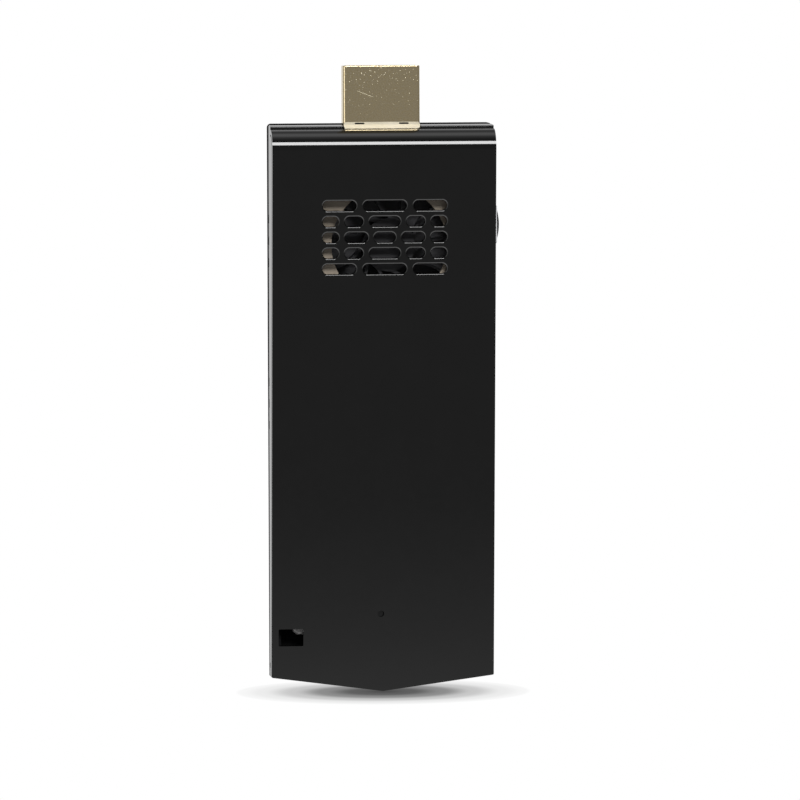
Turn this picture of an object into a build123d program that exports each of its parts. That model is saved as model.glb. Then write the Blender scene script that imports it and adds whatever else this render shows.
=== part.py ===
from build123d import *

import os
from math import atan, cos, degrees, radians, sin

os.makedirs("parts", exist_ok=True)

# The stick lies on its back: +X to the right of the face, +Y towards the plug, +Z out of the face.
# The origin is on the back, on the centre line, midway between the plug end and the pointed end's corners.

# Whole body
body_width = 40.4
body_length = 99.8
tip_depth = 2.7
thick_at_plug = 12.0
thick_at_tip = 5.8
half_width = body_width / 2
plug_end = body_length / 2
corner_y = -body_length / 2
tip_y = corner_y - tip_depth
face_slope = (thick_at_plug - thick_at_tip) / body_length
face_angle = degrees(atan(face_slope))

# Parting line between the middle frame and the back cover, which rises towards the plug
split_at_tip = 3.0
split_at_plug = 5.0
split_slope = (split_at_plug - split_at_tip) / body_length
split_gap = 0.12

# Shell walls and corners
lid_wall = 1.1
lid_gap = 0.1
frame_wall = 1.3
back_wall = 1.95
back_floor = 1.0
back_round = 2.0
plug_corner_radius = 0.25
back_corner_radius = 0.7
tip_corner_radius = 0.25
tip_radius = 1.6
lid_edge_round = 0.35

# Rolled-over plug end of the lid, and the rim of the frame in front of it
lip_y = 48.95
lip_z = 8.1
roll_radius = 3.4
lip_round = 0.2
frame_end = 49.7
rim_slope_z = 6.0
rim_top_y = 49.5
rim_round = 0.15
frame_inner_end = lip_y - lid_wall - lid_gap

# Intake grille: five rows of slots
grille_x = 0.1
grille_y = 29.58
grille_pitch = 2.85
grille_width = 22.42
slot_height = 1.8
grille_round = 0.24
long_row = (6.05, 7.85, 6.05)
inner_row = (2.85, 3.3, 5.6, 3.3, 2.85)
middle_row = (2.9, 4.2, 3.9, 4.2, 2.9)
grille_rows = (long_row, inner_row, middle_row, inner_row, long_row)

# Small round hole and lanyard hole in the face
light_hole_at = (-0.4, -38.5)
light_hole_diameter = 1.17
lanyard_hole_at = (-16.7, -42.65)
lanyard_hole_size = (4.5, 3.1)
lanyard_hole_round = 0.2

# Small vents in the left wall, on the parting line
vent_groups = (28.9, -0.4)
vents_in_group = 3
vent_pitch = 3.9
vent_size = (1.5, 1.0)
catch_notch_y = -47.8
catch_notch_size = (0.9, 1.4)

# HDMI plug: the standard type A shell
plug_width = 13.9
plug_height = 4.45
plug_mouth = 60.3
plug_root = 44.0
plug_z = 5.0
plug_sheet = 0.35
plug_corner_cut = (1.45, 1.62)
plug_fillet = 0.5
plug_clearance = 0.1
plug_top = plug_z + plug_height / 2
plug_bottom = plug_z - plug_height / 2

# Main board
board_z = 2.4
board_thickness = 0.8
board_top = board_z + board_thickness
board_inset = 2.2
board_end = 46.1

# Screws from the back into bosses under the lid
screw_places = ((-16.4, 44.2), (16.4, 44.2), (-16.4, -34.8), (16.4, -34.8))
screw_names = ("top_left", "top_right", "bottom_left", "bottom_right")
screw_head_radius = 1.4
screw_head_height = 0.8
screw_radius = 0.75
screw_head_seat = 1.1
screw_end_gap = 0.5
boss_radius = 2.2
lid_boss_radius = 1.8
screw_hole_radius = 0.85
screw_thread_radius = 0.8
head_hole_radius = 1.55
boss_gap = 0.15

# USB socket in the right wall, let into the board
usb_y = -2.7
usb_inside = (12.6, 5.12)
usb_sheet = 0.25
usb_bottom = 1.08
usb_back_x = 6.3
usb_lip = 0.15
usb_clearance = 0.12
usb_width = usb_inside[0] + 2 * usb_sheet
usb_height = usb_inside[1] + 2 * usb_sheet
usb_z = usb_bottom + usb_height / 2

# Micro USB power socket in the right wall
power_y = 15.5
power_size = (7.6, 2.7)
power_bevel = 0.9
power_sheet = 0.25
power_back_x = 15.2
power_clearance = 0.2
power_z = board_top + power_size[1] / 2

# Memory card socket in the right wall
card_y = -24.0
card_width = 14.2
card_height = 1.5
card_back_x = 5.6
card_front_x = 18.15
card_slot = (12.0, 1.3)
card_sheet = 0.2
card_base = 0.3
card_stop = 1.0

# Power button in the right wall
button_y = 31.65
button_z = 6.3
key_size = (5.7, 2.2)
key_gap = 0.1
key_proud = 0.97
bezel_size = (7.35, 4.2)
bezel_proud = 0.55
bezel_sleeve = 0.5
bezel_taper = 32
flange_size = (6.4, 3.2)
flange_inner_x = 18.05
flange_thickness = 0.7
button_travel = 0.25

# Fan behind the grille
fan_at = (1.15, 28.1)
fan_size = (25.6, 26.0)
fan_bottom = 4.0
fan_floor = 0.5
fan_top = 8.1
fan_plate = 0.3
fan_bore_radius = 11.9
fan_opening_radius = 10.45
fan_corner = 2.5
fan_exhaust = 14.0

# How far a cut runs past a face, how far one reaches in through a side wall, and how deep a joined piece sinks in
past = 1.0
wall_reach = 3.0
sunk = 0.2
wall_cut_x = (half_width - wall_reach, half_width + past)


def face_z(y):
    """Height of the front face at a place along the body."""
    return thick_at_tip + (y - corner_y) * face_slope


def under_z(y):
    """Height of the lid's underside at a place along the body."""
    return face_z(y) - lid_wall / cos(radians(face_angle))


def split_z(y):
    """Height of the parting line at a place along the body."""
    return split_at_tip + (y - corner_y) * split_slope


def on_face(y):
    """Distance up the sloped face that lies over a place along the body."""
    return y / cos(radians(face_angle))


def plan(end, inset=0.0, height=0.0, corner=plug_corner_radius):
    """The outline seen from the front, moved in from the sides and the pointed end."""
    half = half_width - inset
    drop = tip_depth * half / half_width
    with BuildSketch(Plane.XY.offset(height)) as outline:
        with BuildLine():
            FilletPolyline(
                (-half, end),
                (half, end),
                (half, corner_y + inset),
                (0, corner_y + inset - drop),
                (-half, corner_y + inset),
                radius=[
                    corner,
                    corner,
                    tip_corner_radius,
                    tip_radius,
                    tip_corner_radius,
                ],
                close=True,
            )
        make_face()
    return outline.sketch


def side_profile(points, radii):
    """A closed profile seen from the right side, through points (y, z)."""
    with BuildSketch(Plane.YZ) as profile:
        with BuildLine():
            FilletPolyline(*points, radius=radii, close=True)
        make_face()
    return profile.sketch


def span_box(x, y, z, mode=Mode.ADD):
    """A box between two limits on each axis."""
    with Locations(((x[0] + x[1]) / 2, (y[0] + y[1]) / 2, (z[0] + z[1]) / 2)):
        Box(x[1] - x[0], y[1] - y[0], z[1] - z[0], mode=mode)


def around(middle, size):
    """The two limits of a length centred on a place."""
    return (middle - size / 2, middle + size / 2)


def post(at, radius, low, high, mode=Mode.ADD):
    """An upright round post between two heights."""
    with Locations((at[0], at[1], (low + high) / 2)):
        Cylinder(radius, high - low, mode=mode)


def save(piece, name):
    """Labels a finished piece and writes it to its own file."""
    piece.part.label = name
    export_step(piece.part, f"parts/{name}.step")


def plug_outline(shrink, y):
    """The plug's outline, wide side to the front, on an upright plane at a place along the body."""
    wide = plug_width / 2 - shrink
    high = plug_height / 2 - shrink
    cut_x, cut_z = plug_corner_cut
    with BuildSketch(Plane.XZ.offset(-y)) as outline:
        with BuildLine():
            FilletPolyline(
                (-wide, plug_z + high),
                (wide, plug_z + high),
                (wide, plug_z - high + cut_z),
                (wide - cut_x, plug_z - high),
                (-wide + cut_x, plug_z - high),
                (-wide, plug_z - high + cut_z),
                radius=max(plug_fillet - shrink, 0.1),
                close=True,
            )
        make_face()
    return outline.sketch


def power_outline(shrink, x):
    """The power socket's outline on an upright plane at a place across the body."""
    wide = power_size[0] / 2 - shrink
    low = board_top + shrink
    high = board_top + power_size[1] - shrink
    with BuildSketch(Plane.YZ.offset(x)) as outline:
        with BuildLine():
            Polyline(
                (power_y - wide, high),
                (power_y + wide, high),
                (power_y + wide, low + power_bevel),
                (power_y + wide - power_bevel, low),
                (power_y - wide + power_bevel, low),
                (power_y - wide, low + power_bevel),
                close=True,
            )
        make_face()
    return outline.sketch


def cut_wall_openings():
    """Cuts the plug, socket, slot and vent openings through the shell's walls."""
    span_box(
        around(0, plug_width + 2 * plug_clearance),
        (frame_inner_end - past, plug_end + past),
        (plug_bottom - plug_clearance, thick_at_plug),
        mode=Mode.SUBTRACT,
    )
    span_box(
        wall_cut_x,
        around(usb_y, usb_width + 2 * usb_clearance),
        (usb_bottom - usb_clearance / 2, usb_bottom + usb_height + usb_clearance),
        mode=Mode.SUBTRACT,
    )
    span_box(
        wall_cut_x,
        around(power_y, power_size[0] + 2 * power_clearance),
        around(power_z, power_size[1] + 2 * power_clearance),
        mode=Mode.SUBTRACT,
    )
    span_box(
        wall_cut_x,
        around(card_y, card_slot[0]),
        around(board_top + card_height / 2, card_slot[1]),
        mode=Mode.SUBTRACT,
    )
    first_vent = -(vents_in_group - 1) / 2
    for group_y in vent_groups:
        for step in range(vents_in_group):
            vent_y = group_y + (first_vent + step) * vent_pitch
            span_box(
                (-half_width - past, -half_width + wall_reach),
                around(vent_y, vent_size[0]),
                around(split_z(vent_y), vent_size[1]),
                mode=Mode.SUBTRACT,
            )
    span_box(
        (-half_width - past, -half_width + frame_wall / 2),
        around(catch_notch_y, catch_notch_size[0]),
        around(split_z(catch_notch_y), catch_notch_size[1]),
        mode=Mode.SUBTRACT,
    )


# Front cover: a sloped lid that rolls over at the plug end
with BuildPart() as front_cover:
    profile = side_profile(
        [
            (tip_y, face_z(tip_y)),
            (lip_y, face_z(lip_y)),
            (lip_y, lip_z),
            (lip_y - lid_wall, lip_z),
            (lip_y - lid_wall, under_z(lip_y - lid_wall)),
            (tip_y, under_z(tip_y)),
        ],
        [0, roll_radius, lip_round, 0, roll_radius - lid_wall, 0],
    )
    extrude(profile, amount=half_width, both=True)
    extrude(plan(plug_end + plug_corner_radius), amount=thick_at_plug + past, mode=Mode.INTERSECT)
    face = front_cover.faces().sort_by(SortBy.AREA)[-1]
    rim_edges = [e for e in face.edges() if e.center().Y < plug_end - 2 * roll_radius]
    fillet(rim_edges, lid_edge_round)
    # grille slots
    face_plane = Plane(
        origin=(0, 0, face_z(0)),
        x_dir=(1, 0, 0),
        z_dir=(0, -sin(radians(face_angle)), cos(radians(face_angle))),
    )
    with BuildSketch(face_plane):
        for index, widths in enumerate(grille_rows):
            row_y = grille_y + (len(grille_rows) // 2 - index) * grille_pitch
            gap = (grille_width - sum(widths)) / (len(widths) - 1)
            left = grille_x - grille_width / 2
            for width in widths:
                with Locations((left + width / 2, on_face(row_y))):
                    SlotOverall(width, slot_height)
                left += width + gap
    extrude(amount=-2 * lid_wall, mode=Mode.SUBTRACT)
    near = 0.01
    slot_edges = [
        e
        for e in front_cover.edges()
        if abs(e.center().Y - grille_y) < 3 * grille_pitch
        and abs(e.center().X - grille_x) < grille_width / 2 + near
        and abs(e.center().Z - face_z(e.center().Y)) < near
    ]
    fillet(slot_edges, grille_round)
    # small round hole and lanyard hole
    with BuildSketch(face_plane):
        with Locations((light_hole_at[0], on_face(light_hole_at[1]))):
            Circle(light_hole_diameter / 2)
        with Locations((lanyard_hole_at[0], on_face(lanyard_hole_at[1]))):
            RectangleRounded(*lanyard_hole_size, lanyard_hole_round)
    extrude(amount=-2 * lid_wall, mode=Mode.SUBTRACT)
    # bosses for the screws
    for place in screw_places:
        boss_low = split_z(place[1]) + boss_gap
        post(place, lid_boss_radius, boss_low, under_z(place[1]) + sunk)
        thread_top = under_z(place[1]) - sunk
        post(place, screw_thread_radius, boss_low - past, thread_top, mode=Mode.SUBTRACT)
save(front_cover, "front_cover")

# Middle frame: the glossy band between the lid and the back
with BuildPart() as middle_frame:
    profile = side_profile(
        [
            (tip_y, split_z(tip_y) + split_gap),
            (frame_end, split_z(frame_end) + split_gap),
            (frame_end, rim_slope_z),
            (rim_top_y, lip_z - lid_gap),
            (frame_inner_end, lip_z - lid_gap),
            (frame_inner_end, under_z(frame_inner_end) - lid_gap),
            (tip_y, under_z(tip_y) - lid_gap),
        ],
        [0, 0, rim_round, rim_round, 0, roll_radius - lid_wall - lid_gap, 0],
    )
    extrude(profile, amount=half_width, both=True)
    extrude(plan(frame_end), amount=thick_at_plug, mode=Mode.INTERSECT)
    extrude(plan(frame_inner_end, frame_wall), amount=thick_at_plug, mode=Mode.SUBTRACT)
    cut_wall_openings()
    sleeve_size = (key_size[0] + 2 * bezel_sleeve, key_size[1] + 2 * bezel_sleeve)
    span_box(
        wall_cut_x,
        around(button_y, sleeve_size[0] + key_gap),
        around(button_z, sleeve_size[1] + key_gap),
        mode=Mode.SUBTRACT,
    )
save(middle_frame, "middle_frame")

# Back cover: floor, walls, an inner lip that locates the frame, and screw bosses
lip_rise = 0.8
lip_inset = frame_wall + 0.1
lip_low_y = corner_y + 2.0
lip_high_y = frame_inner_end - plug_corner_radius - 0.1
with BuildPart() as back_cover:
    extrude(plan(plug_end, corner=back_corner_radius), amount=thick_at_plug)
    wedge = side_profile(
        [
            (tip_y - past, -past),
            (plug_end + past, -past),
            (plug_end + past, split_z(plug_end + past)),
            (tip_y - past, split_z(tip_y - past)),
        ],
        0,
    )
    extrude(wedge, amount=half_width + past, both=True, mode=Mode.INTERSECT)
    fillet(back_cover.faces().sort_by(Axis.Z)[0].edges(), back_round)
    lip = side_profile(
        [
            (lip_low_y, back_floor),
            (lip_high_y, back_floor),
            (lip_high_y, split_z(lip_high_y) + lip_rise),
            (lip_low_y, split_z(lip_low_y) + lip_rise),
        ],
        0,
    )
    extrude(lip, amount=half_width - lip_inset, both=True)
    extrude(plan(plug_end - back_wall, back_wall, back_floor), amount=thick_at_plug, mode=Mode.SUBTRACT)
    for place in screw_places:
        post(place, boss_radius, back_floor / 2, split_z(place[1]))
        post(place, screw_hole_radius, -past, split_z(place[1]) + past, mode=Mode.SUBTRACT)
        post(place, head_hole_radius, -past, screw_head_seat, mode=Mode.SUBTRACT)
    cut_wall_openings()
    # room for the button behind the wall
    span_box(
        (flange_inner_x - button_travel - key_gap, half_width - lip_inset + key_gap),
        around(button_y, bezel_size[0]),
        (split_z(button_y), split_z(button_y) + lip_rise + past),
        mode=Mode.SUBTRACT,
    )
save(back_cover, "back_cover")

# Case screws, with a cross recess
recess_depth = 0.35
recess_length = 1.5
recess_width = 0.35
for place, where in zip(screw_places, screw_names):
    screw_tip = under_z(place[1]) - screw_end_gap
    head_low = screw_head_seat - screw_head_height
    with BuildPart() as case_screw:
        post(place, screw_head_radius, head_low, screw_head_seat)
        post(place, screw_radius, screw_head_seat - sunk, screw_tip)
        recess_z = (head_low - recess_depth, head_low + recess_depth)
        long_way = around(0, recess_length)
        short_way = around(0, recess_width)
        for across, along in ((long_way, short_way), (short_way, long_way)):
            span_box(
                (place[0] + across[0], place[0] + across[1]),
                (place[1] + along[0], place[1] + along[1]),
                recess_z,
                mode=Mode.SUBTRACT,
            )
    save(case_screw, f"case_screw_{where}")

# HDMI plug shell, with two latch slots at its root and legs on the board
mouth_round = 0.12
latch_slot_x = 4.0
latch_slot_y = 49.95
latch_slot_size = (1.75, 0.3)
leg_y = (44.6, 46.0)
leg_width = 0.4
foot_width = 1.4
foot_height = 0.3


def latch_slots():
    """The two latch slots seen from the front, at the height of the plug's middle."""
    with BuildSketch(Plane.XY.offset(plug_z)) as slots:
        with Locations((-latch_slot_x, latch_slot_y), (latch_slot_x, latch_slot_y)):
            SlotOverall(*latch_slot_size)
    return slots.sketch


with BuildPart() as hdmi_plug_shell:
    extrude(plug_outline(0, plug_mouth), amount=plug_mouth - plug_root)
    mouth_edges = hdmi_plug_shell.faces().sort_by(Axis.Y)[-1].edges()
    fillet(mouth_edges, mouth_round)
    extrude(plug_outline(plug_sheet, plug_mouth), amount=plug_mouth - plug_root, mode=Mode.SUBTRACT)
    extrude(latch_slots(), amount=plug_height, mode=Mode.SUBTRACT)
    for side in (-1, 1):
        edge = side * (plug_width / 2 - plug_sheet)
        leg = sorted((edge, edge + side * (plug_sheet + leg_width)))
        foot = sorted((edge + side * plug_sheet, edge + side * (plug_sheet + foot_width)))
        span_box(leg, leg_y, (board_top, plug_z))
        span_box(foot, leg_y, (board_top, board_top + foot_height))
save(hdmi_plug_shell, "hdmi_plug_shell")

# Insulator inside the plug, with the slot that takes the socket's tongue
insulator_gap = 0.03
insulator_mouth = plug_mouth - 0.9
insulator_root = 44.2
insulator_length = insulator_mouth - insulator_root
tongue_slot = (11.2, 1.9)
tongue_slot_depth = 8.5
with BuildPart() as hdmi_plug_insulator:
    extrude(plug_outline(plug_sheet + insulator_gap, insulator_mouth), amount=insulator_length)
    span_box(
        around(0, tongue_slot[0]),
        (insulator_mouth - tongue_slot_depth, plug_mouth),
        around(plug_z, tongue_slot[1]),
        mode=Mode.SUBTRACT,
    )
save(hdmi_plug_insulator, "hdmi_plug_insulator")

# Plug contacts: ten above and nine below the slot, and their tails on the board
contact_pitch = 1.0
contact_width = 0.4
contact_thick = 0.2
contact_length = 7.0
contact_mouth = insulator_mouth - 0.4
contact_rows = ((10, 1), (9, -1))
tail_y = (43.0, insulator_root)
tail_height = 0.4
with BuildPart() as hdmi_plug_contacts:
    for count, side in contact_rows:
        surface = plug_z + side * tongue_slot[1] / 2
        heights = sorted((surface, surface - side * contact_thick))
        for index in range(count):
            contact_x = (index - (count - 1) / 2) * contact_pitch
            limits = around(contact_x, contact_width)
            span_box(limits, (contact_mouth - contact_length, contact_mouth), heights)
            tail = around(contact_x, contact_width / 2)
            span_box(tail, tail_y, (board_top, board_top + tail_height))
save(hdmi_plug_contacts, "hdmi_plug_contacts")

# Collar across the plug's face at its root, in the notch of the frame: it rises in two slopes
collar_y = (49.05, 50.2)
collar_width = 13.8
collar_gap = 0.02
collar_top = 8.2
collar_bottom = plug_top + collar_gap
collar_corner = 0.45
collar_bend = (49.75, 7.56)
collar_crest_y = 49.11
with BuildPart() as hdmi_plug_collar:
    with BuildSketch(Plane.XZ.offset(-collar_y[1])):
        with Locations((0, (collar_top + collar_bottom) / 2)):
            RectangleRounded(collar_width, collar_top - collar_bottom, collar_corner)
    extrude(amount=collar_y[1] - collar_y[0])
    profile = side_profile(
        [
            (collar_y[0], collar_bottom),
            (collar_y[1], collar_bottom),
            collar_bend,
            (collar_crest_y, collar_top),
            (collar_y[0], collar_top),
        ],
        0,
    )
    extrude(profile, amount=collar_width, both=True, mode=Mode.INTERSECT)
    extrude(latch_slots(), amount=plug_height, mode=Mode.SUBTRACT)
save(hdmi_plug_collar, "hdmi_plug_collar")

# Main board, cut out for the plug, the USB socket, the screws and the lanyard
board_notch_gap = 0.4
lanyard_corner = (-12.8, -38.4)
board_screw_gap = 0.3
with BuildPart() as main_board:
    extrude(plan(board_end, board_inset, board_z), amount=board_thickness)
    levels = (board_z - past, board_top + past)
    span_box(
        around(0, plug_width + 2 * board_notch_gap),
        (plug_root - board_notch_gap, board_end + past),
        levels,
        mode=Mode.SUBTRACT,
    )
    span_box(
        (usb_back_x - board_notch_gap, half_width),
        around(usb_y, usb_width + 2 * board_notch_gap),
        levels,
        mode=Mode.SUBTRACT,
    )
    span_box((-half_width, lanyard_corner[0]), (tip_y, lanyard_corner[1]), levels, mode=Mode.SUBTRACT)
    for place in screw_places:
        post(place, boss_radius + board_screw_gap, *levels, mode=Mode.SUBTRACT)
save(main_board, "main_board")


chip_corner = 0.2


def chip(name, at, size, bottom=board_top):
    """A flat package with slightly rounded upright edges, standing on the board."""
    with BuildPart() as package:
        with BuildSketch(Plane.XY.offset(bottom)):
            with Locations(at):
                RectangleRounded(size[0], size[1], chip_corner)
        extrude(amount=size[2])
    save(package, name)


# Chips on the board: place, then width, length and height
processor_at = (-6.0, 4.0)
processor_size = (15.0, 15.0, 1.1)
chip("processor", processor_at, processor_size)
chip("memory_chip_left", (-12.2, -12.5), (8.0, 10.5, 1.0))
chip("memory_chip_right", (-2.4, -12.5), (8.0, 10.5, 1.0))
chip("storage_chip", (-6.5, -26.0), (11.5, 13.0, 1.0))
chip("power_chip", (8.6, 8.2), (5.0, 5.0, 0.9))
chip("clock_crystal", (-14.6, 13.6), (3.2, 1.6, 0.7))

# Thermal pad and heat spreader over the processor
pad_thickness = 0.5
pad_shrink = 1.0
spreader_size = (19.0, 21.0, 0.7)
spreader_at = (-7.0, 4.3)
pad_bottom = board_top + processor_size[2]
spreader_bottom = pad_bottom + pad_thickness
chip(
    "thermal_pad",
    processor_at,
    (processor_size[0] - pad_shrink, processor_size[1] - pad_shrink, pad_thickness),
    pad_bottom,
)
chip("heat_spreader", spreader_at, spreader_size, spreader_bottom)

# Two inductors beside the power chip
inductor_places = ((7.4, 12.4), (11.8, 12.4))
inductor_size = (3.0, 3.0, 1.6)
with BuildPart() as power_inductors:
    for place in inductor_places:
        span_box(
            around(place[0], inductor_size[0]),
            around(place[1], inductor_size[1]),
            (board_top, board_top + inductor_size[2]),
        )
save(power_inductors, "power_inductors")

# A row of capacitors between the memory and the processor
capacitor_size = (1.0, 0.5, 0.5)
capacitor_count = 8
capacitor_pitch = 1.8
capacitor_y = -5.4
capacitor_x = -13.0
with BuildPart() as capacitors:
    for index in range(capacitor_count):
        span_box(
            around(capacitor_x + index * capacitor_pitch, capacitor_size[0]),
            around(capacitor_y, capacitor_size[1]),
            (board_top, board_top + capacitor_size[2]),
        )
save(capacitors, "capacitors")

# Wireless module with its can, and a folded antenna strip beside the pointed end
module_at = (7.0, -41.0)
module_size = (11.0, 8.0)
module_base = 0.4
can_height = 0.9
can_inset = 0.4
with BuildPart() as wireless_module:
    span_box(
        around(module_at[0], module_size[0]),
        around(module_at[1], module_size[1]),
        (board_top, board_top + module_base),
    )
    span_box(
        around(module_at[0], module_size[0] - 2 * can_inset),
        around(module_at[1], module_size[1] - 2 * can_inset),
        (board_top + module_base, board_top + module_base + can_height),
    )
save(wireless_module, "wireless_module")

antenna_y = (-47.4, -46.4)
antenna_x = (-11.0, -1.0)
antenna_height = 1.2
antenna_sheet = 0.2
with BuildPart() as antenna_strip:
    span_box(antenna_x, antenna_y, (board_top, board_top + antenna_sheet))
    span_box(
        antenna_x,
        (antenna_y[1] - antenna_sheet, antenna_y[1]),
        (board_top, board_top + antenna_height),
    )
save(antenna_strip, "antenna_strip")

# Fan housing: a square tray with a round bore, an exhaust to the left and a seat for the bearing
sleeve_radius = 1.3
sleeve_height = 2.3
housing_x = around(fan_at[0], fan_size[0])
exhaust_bottom = fan_bottom + fan_floor
with BuildPart() as fan_housing:
    with BuildSketch(Plane.XY.offset(fan_bottom)):
        with Locations(fan_at):
            RectangleRounded(*fan_size, fan_corner)
    extrude(amount=fan_top - fan_bottom)
    post(fan_at, fan_bore_radius, exhaust_bottom, fan_top + past, mode=Mode.SUBTRACT)
    span_box(
        (housing_x[0] - past, fan_at[0]),
        around(fan_at[1], fan_exhaust),
        (exhaust_bottom, fan_top + past),
        mode=Mode.SUBTRACT,
    )
save(fan_housing, "fan_housing")

# Top plate of the fan with the round intake
with BuildPart() as fan_top_plate:
    with BuildSketch(Plane.XY.offset(fan_top)):
        with Locations(fan_at):
            RectangleRounded(*fan_size, fan_corner)
            Circle(fan_opening_radius, mode=Mode.SUBTRACT)
    extrude(amount=fan_plate)
save(fan_top_plate, "fan_top_plate")

# Bearing sleeve, shaft and stator on the fan's axis
shaft_radius = 0.5
bearing_clearance = 0.03
shaft_bottom = exhaust_bottom + 0.15
hub_top = 7.85
hub_wall = 0.5
hub_radius = 4.75
hub_bottom = exhaust_bottom + 0.35
with BuildPart() as fan_bearing_sleeve:
    post(fan_at, sleeve_radius, exhaust_bottom, exhaust_bottom + sleeve_height)
    post(
        fan_at,
        shaft_radius + bearing_clearance,
        exhaust_bottom,
        exhaust_bottom + sleeve_height,
        mode=Mode.SUBTRACT,
    )
save(fan_bearing_sleeve, "fan_bearing_sleeve")

with BuildPart() as fan_shaft:
    post(fan_at, shaft_radius, shaft_bottom, hub_top - hub_wall)
save(fan_shaft, "fan_shaft")

# Stator: four teeth with wide tips, wound with coils
stator_bottom = hub_bottom + 0.25
stator_top = stator_bottom + 1.5
stator_radius = 3.3
stator_core = 1.75
stator_bore_gap = 0.02
tooth_width = 1.0
tooth_tip = 0.45
stator_teeth = 4
with BuildPart() as fan_stator:
    with BuildSketch(Plane.XY.offset(stator_bottom)):
        with Locations(fan_at):
            Circle(stator_core)
            with PolarLocations(stator_radius / 2, stator_teeth):
                Rectangle(stator_radius, tooth_width)
            with PolarLocations(stator_radius - tooth_tip / 2, stator_teeth, start_angle=0):
                Rectangle(tooth_tip, 2.6 * tooth_width)
            Circle(sleeve_radius + stator_bore_gap, mode=Mode.SUBTRACT)
    extrude(amount=stator_top - stator_bottom)
save(fan_stator, "fan_stator")

# Magnet ring inside the hub
magnet_outer = hub_radius - hub_wall - 0.01
magnet_inner = 3.75
magnet_top = hub_top - hub_wall - 0.3
with BuildPart() as fan_magnet_ring:
    post(fan_at, magnet_outer, hub_bottom, magnet_top)
    post(fan_at, magnet_inner, hub_bottom, magnet_top, mode=Mode.SUBTRACT)
save(fan_magnet_ring, "fan_magnet_ring")

# Rotor: a cup-shaped hub with swept blades
blade_count = 11
blade_tip_radius = 11.2
blade_bow = 7.5
blade_thickness = 0.5
blade_bottom = hub_bottom + 0.1
blade_top = 7.6
blade_overlap = 0.3
blade_sweep = radians(38)
blade_root = (hub_radius - blade_overlap, 0)
blade_tip = (blade_tip_radius * cos(blade_sweep), blade_tip_radius * sin(blade_sweep))
with BuildSketch() as blade:
    with BuildLine():
        RadiusArc(blade_root, blade_tip, blade_bow)
    trace(line_width=blade_thickness)
with BuildPart() as fan_rotor:
    post(fan_at, hub_radius, hub_bottom, hub_top)
    with BuildSketch(Plane.XY.offset(blade_bottom)):
        with Locations(fan_at):
            with PolarLocations(0, blade_count):
                add(blade.sketch)
    extrude(amount=blade_top - blade_bottom)
    post(fan_at, hub_radius - hub_wall, hub_bottom - past, hub_top - hub_wall, mode=Mode.SUBTRACT)
save(fan_rotor, "fan_rotor")

# Fan lead: three wires from the housing's corner to their socket on the board
wire_radius = 0.3
wire_pitch = 0.75
wire_count = 3
wire_z = 4.3
wire_start_x = housing_x[0]
wire_end_x = -14.0
wire_start_y = 18.2
lead_socket_size = (2.2, 3.4, 1.6)
with BuildPart() as fan_lead:
    for index in range(wire_count):
        wire_y = wire_start_y + (index - 1) * wire_pitch
        with BuildSketch(Plane.YZ.offset(wire_end_x)):
            with Locations((wire_y, wire_z)):
                Circle(wire_radius)
        extrude(amount=wire_start_x - wire_end_x)
save(fan_lead, "fan_lead")

with BuildPart() as fan_lead_socket:
    span_box(
        (wire_end_x - lead_socket_size[0], wire_end_x),
        around(wire_start_y, lead_socket_size[1]),
        (board_top, board_top + lead_socket_size[2]),
    )
save(fan_lead_socket, "fan_lead_socket")

# USB socket: folded shell, tongue with its rear block, and four contacts
usb_front_x = half_width + usb_lip
tongue_thickness = 1.84
tongue_width = 11.1
tongue_bottom = usb_bottom + 3.1
tongue_front_x = usb_front_x - 1.3
usb_contact_front_x = tongue_front_x - 0.8
rear_block = 2.0
block_gap = 0.03
with BuildPart() as usb_socket_shell:
    span_box(
        (usb_back_x, usb_front_x),
        around(usb_y, usb_width),
        around(usb_z, usb_height),
    )
    shell_edges = usb_socket_shell.edges().filter_by(Axis.X)
    fillet(shell_edges, 2 * usb_sheet)
    span_box(
        (usb_back_x, usb_front_x),
        around(usb_y, usb_inside[0]),
        around(usb_z, usb_inside[1]),
        mode=Mode.SUBTRACT,
    )
save(usb_socket_shell, "usb_socket_shell")

with BuildPart() as usb_socket_tongue:
    span_box(
        (usb_back_x, usb_back_x + rear_block),
        around(usb_y, usb_inside[0] - 2 * block_gap),
        around(usb_z, usb_inside[1] - 2 * block_gap),
    )
    span_box(
        (usb_back_x + rear_block, tongue_front_x),
        around(usb_y, tongue_width),
        (tongue_bottom, tongue_bottom + tongue_thickness),
    )
save(usb_socket_tongue, "usb_socket_tongue")

usb_contact_places = (-3.5, -1.0, 1.0, 3.5)
usb_contact_width = 1.0
with BuildPart() as usb_socket_contacts:
    for place in usb_contact_places:
        span_box(
            (usb_back_x + rear_block, usb_contact_front_x),
            around(usb_y + place, usb_contact_width),
            (tongue_bottom - contact_thick, tongue_bottom),
        )
save(usb_socket_contacts, "usb_socket_contacts")

# Micro USB power socket: shell and tongue
power_front_x = half_width - 0.1
power_depth = power_front_x - power_back_x
power_tongue = (3.7, 0.7)
power_tongue_front_x = power_front_x - 0.8
power_tongue_z = power_z + 0.35
power_block = 1.4
with BuildPart() as power_socket_shell:
    extrude(power_outline(0, power_back_x), amount=power_depth)
    extrude(power_outline(power_sheet, power_back_x), amount=power_depth, mode=Mode.SUBTRACT)
save(power_socket_shell, "power_socket_shell")

with BuildPart() as power_socket_tongue:
    extrude(power_outline(power_sheet + block_gap, power_back_x), amount=power_block)
    span_box(
        (power_back_x + power_block, power_tongue_front_x),
        around(power_y, power_tongue[0]),
        around(power_tongue_z, power_tongue[1]),
    )
save(power_socket_tongue, "power_socket_tongue")

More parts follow.
